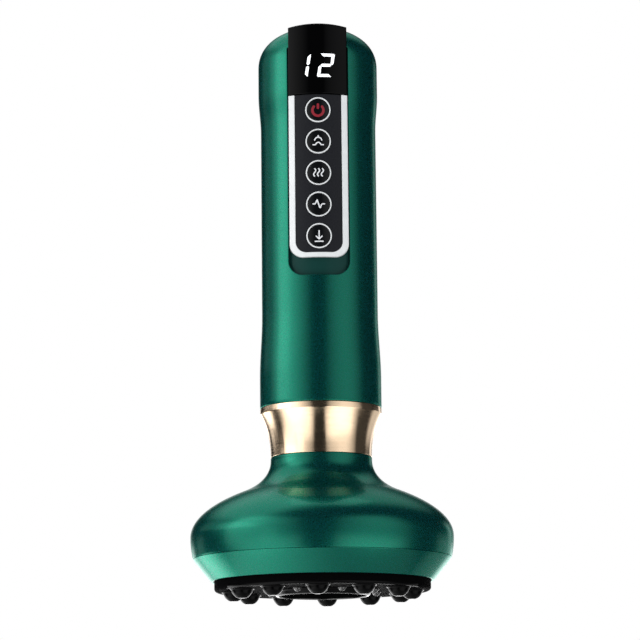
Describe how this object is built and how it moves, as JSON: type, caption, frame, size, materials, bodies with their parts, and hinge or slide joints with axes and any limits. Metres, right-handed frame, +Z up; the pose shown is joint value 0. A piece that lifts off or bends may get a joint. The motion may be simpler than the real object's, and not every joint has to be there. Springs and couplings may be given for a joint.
{
  "type": "electric cupping massager",
  "caption": "Handheld suction massager: round grip with display and key panel, plated collar, mushroom head on a knobbed pad with a central cup.",
  "frame": {"origin": "on the surface it stands on, under the centre of the pad, at the tips of its knobs", "axes": "+Z up the grip's axis, the display and keys face -Y"},
  "size_m": [0.099, 0.099, 0.2205],
  "materials": {
    "green_lacquer": "emerald pearl lacquer under a clear coat, high gloss",
    "gold_plate": "rose gold electroplating, polished",
    "black_gloss": "piano black, high gloss",
    "bright_trim": "bright satin silver plating",
    "panel_film": "charcoal, fine sand grain",
    "cap_plastic": "dark glossy key cap with a printed sign",
    "pad_rubber": "smooth black conductive silicone, semi-gloss",
    "smoked_plastic": "dark smoked plastic, glossy",
    "board_green": "green solder mask",
    "nylon": "natural moulded nylon",
    "cell_wrap": "blue shrink wrap",
    "steel": "plain bright steel",
    "brass": "bare brass",
    "silicone": "translucent white silicone",
    "white_plastic": "white moulded block",
    "aluminium": "rolled aluminium sheet"
  },
  "bodies": {
    "massager_body": {"handle_front_shell": "green_lacquer", "handle_rear_shell": "green_lacquer", "display_window": "black_gloss", "display_module": "white_plastic", "panel_bezel": "bright_trim", "control_panel": "panel_film", "main_board": "board_green", "inner_frame": "nylon", "battery_cell": "cell_wrap", "charge_board": "board_green", "usb_socket": "steel", "ring_power": "bright_trim", "ring_suction": "bright_trim", "ring_heat": "bright_trim", "ring_pulse": "bright_trim", "ring_release": "bright_trim", "switch_power": "black_gloss", "switch_suction": "black_gloss", "switch_heat": "black_gloss", "switch_pulse": "black_gloss", "switch_release": "black_gloss", "frame_screw_1": "steel", "frame_screw_2": "steel", "frame_screw_3": "steel", "frame_screw_4": "steel", "gold_collar": "gold_plate", "head_shell": "green_lacquer", "rim_band": "green_lacquer", "massage_pad": "pad_rubber", "pad_carrier": "nylon", "suction_bowl": "smoked_plastic", "bowl_seal": "silicone", "suction_filter": "steel", "heater_plate": "aluminium", "led_board": "white_plastic", "pad_contact_front": "brass", "pad_contact_rear": "brass", "carrier_screw_1": "steel", "carrier_screw_2": "steel", "carrier_screw_3": "steel", "carrier_screw_4": "steel", "air_tee": "nylon", "bowl_hose": "silicone", "pump_hose": "silicone", "valve_hose": "silicone", "release_valve_body": "steel", "release_valve_spring": "steel", "pump_head": "nylon", "pump_diaphragm": "silicone", "pump_motor": "steel", "pump_damper": "silicone"},
    "power_key": {"button_power": "cap_plastic"},
    "suction_key": {"button_suction": "cap_plastic"},
    "heat_key": {"button_heat": "cap_plastic"},
    "pulse_key": {"button_pulse": "cap_plastic"},
    "release_key": {"button_release": "cap_plastic"},
    "pump_rotor": {"pump_eccentric": "steel"},
    "valve_plunger": {"release_valve_plunger": "steel"}
  },
  "joints": [
    {"name": "power_press", "type": "slide", "parent": "massager_body", "child": "power_key", "axis": [0, 1, 0], "range_m": [0, 0.0005], "stiffness_N_per_m": 600, "springref_m": -0.0006},
    {"name": "suction_press", "type": "slide", "parent": "massager_body", "child": "suction_key", "axis": [0, 1, 0], "range_m": [0, 0.0005], "stiffness_N_per_m": 600, "springref_m": -0.0006},
    {"name": "heat_press", "type": "slide", "parent": "massager_body", "child": "heat_key", "axis": [0, 1, 0], "range_m": [0, 0.0005], "stiffness_N_per_m": 600, "springref_m": -0.0006},
    {"name": "pulse_press", "type": "slide", "parent": "massager_body", "child": "pulse_key", "axis": [0, 1, 0], "range_m": [0, 0.0005], "stiffness_N_per_m": 600, "springref_m": -0.0006},
    {"name": "release_press", "type": "slide", "parent": "massager_body", "child": "release_key", "axis": [0, 1, 0], "range_m": [0, 0.0005], "stiffness_N_per_m": 600, "springref_m": -0.0006},
    {"name": "pump_spin", "type": "hinge", "parent": "massager_body", "child": "pump_rotor", "pos_m": [0, 0, 0.078], "axis": [0, 0, 1], "continuous": true},
    {"name": "valve_release", "type": "slide", "parent": "massager_body", "child": "valve_plunger", "axis": [0, 0, -1], "range_m": [0, 0.0012], "stiffness_N_per_m": 300, "springref_m": -0.0015, "deforming": ["release_valve_spring"]}
  ]
}
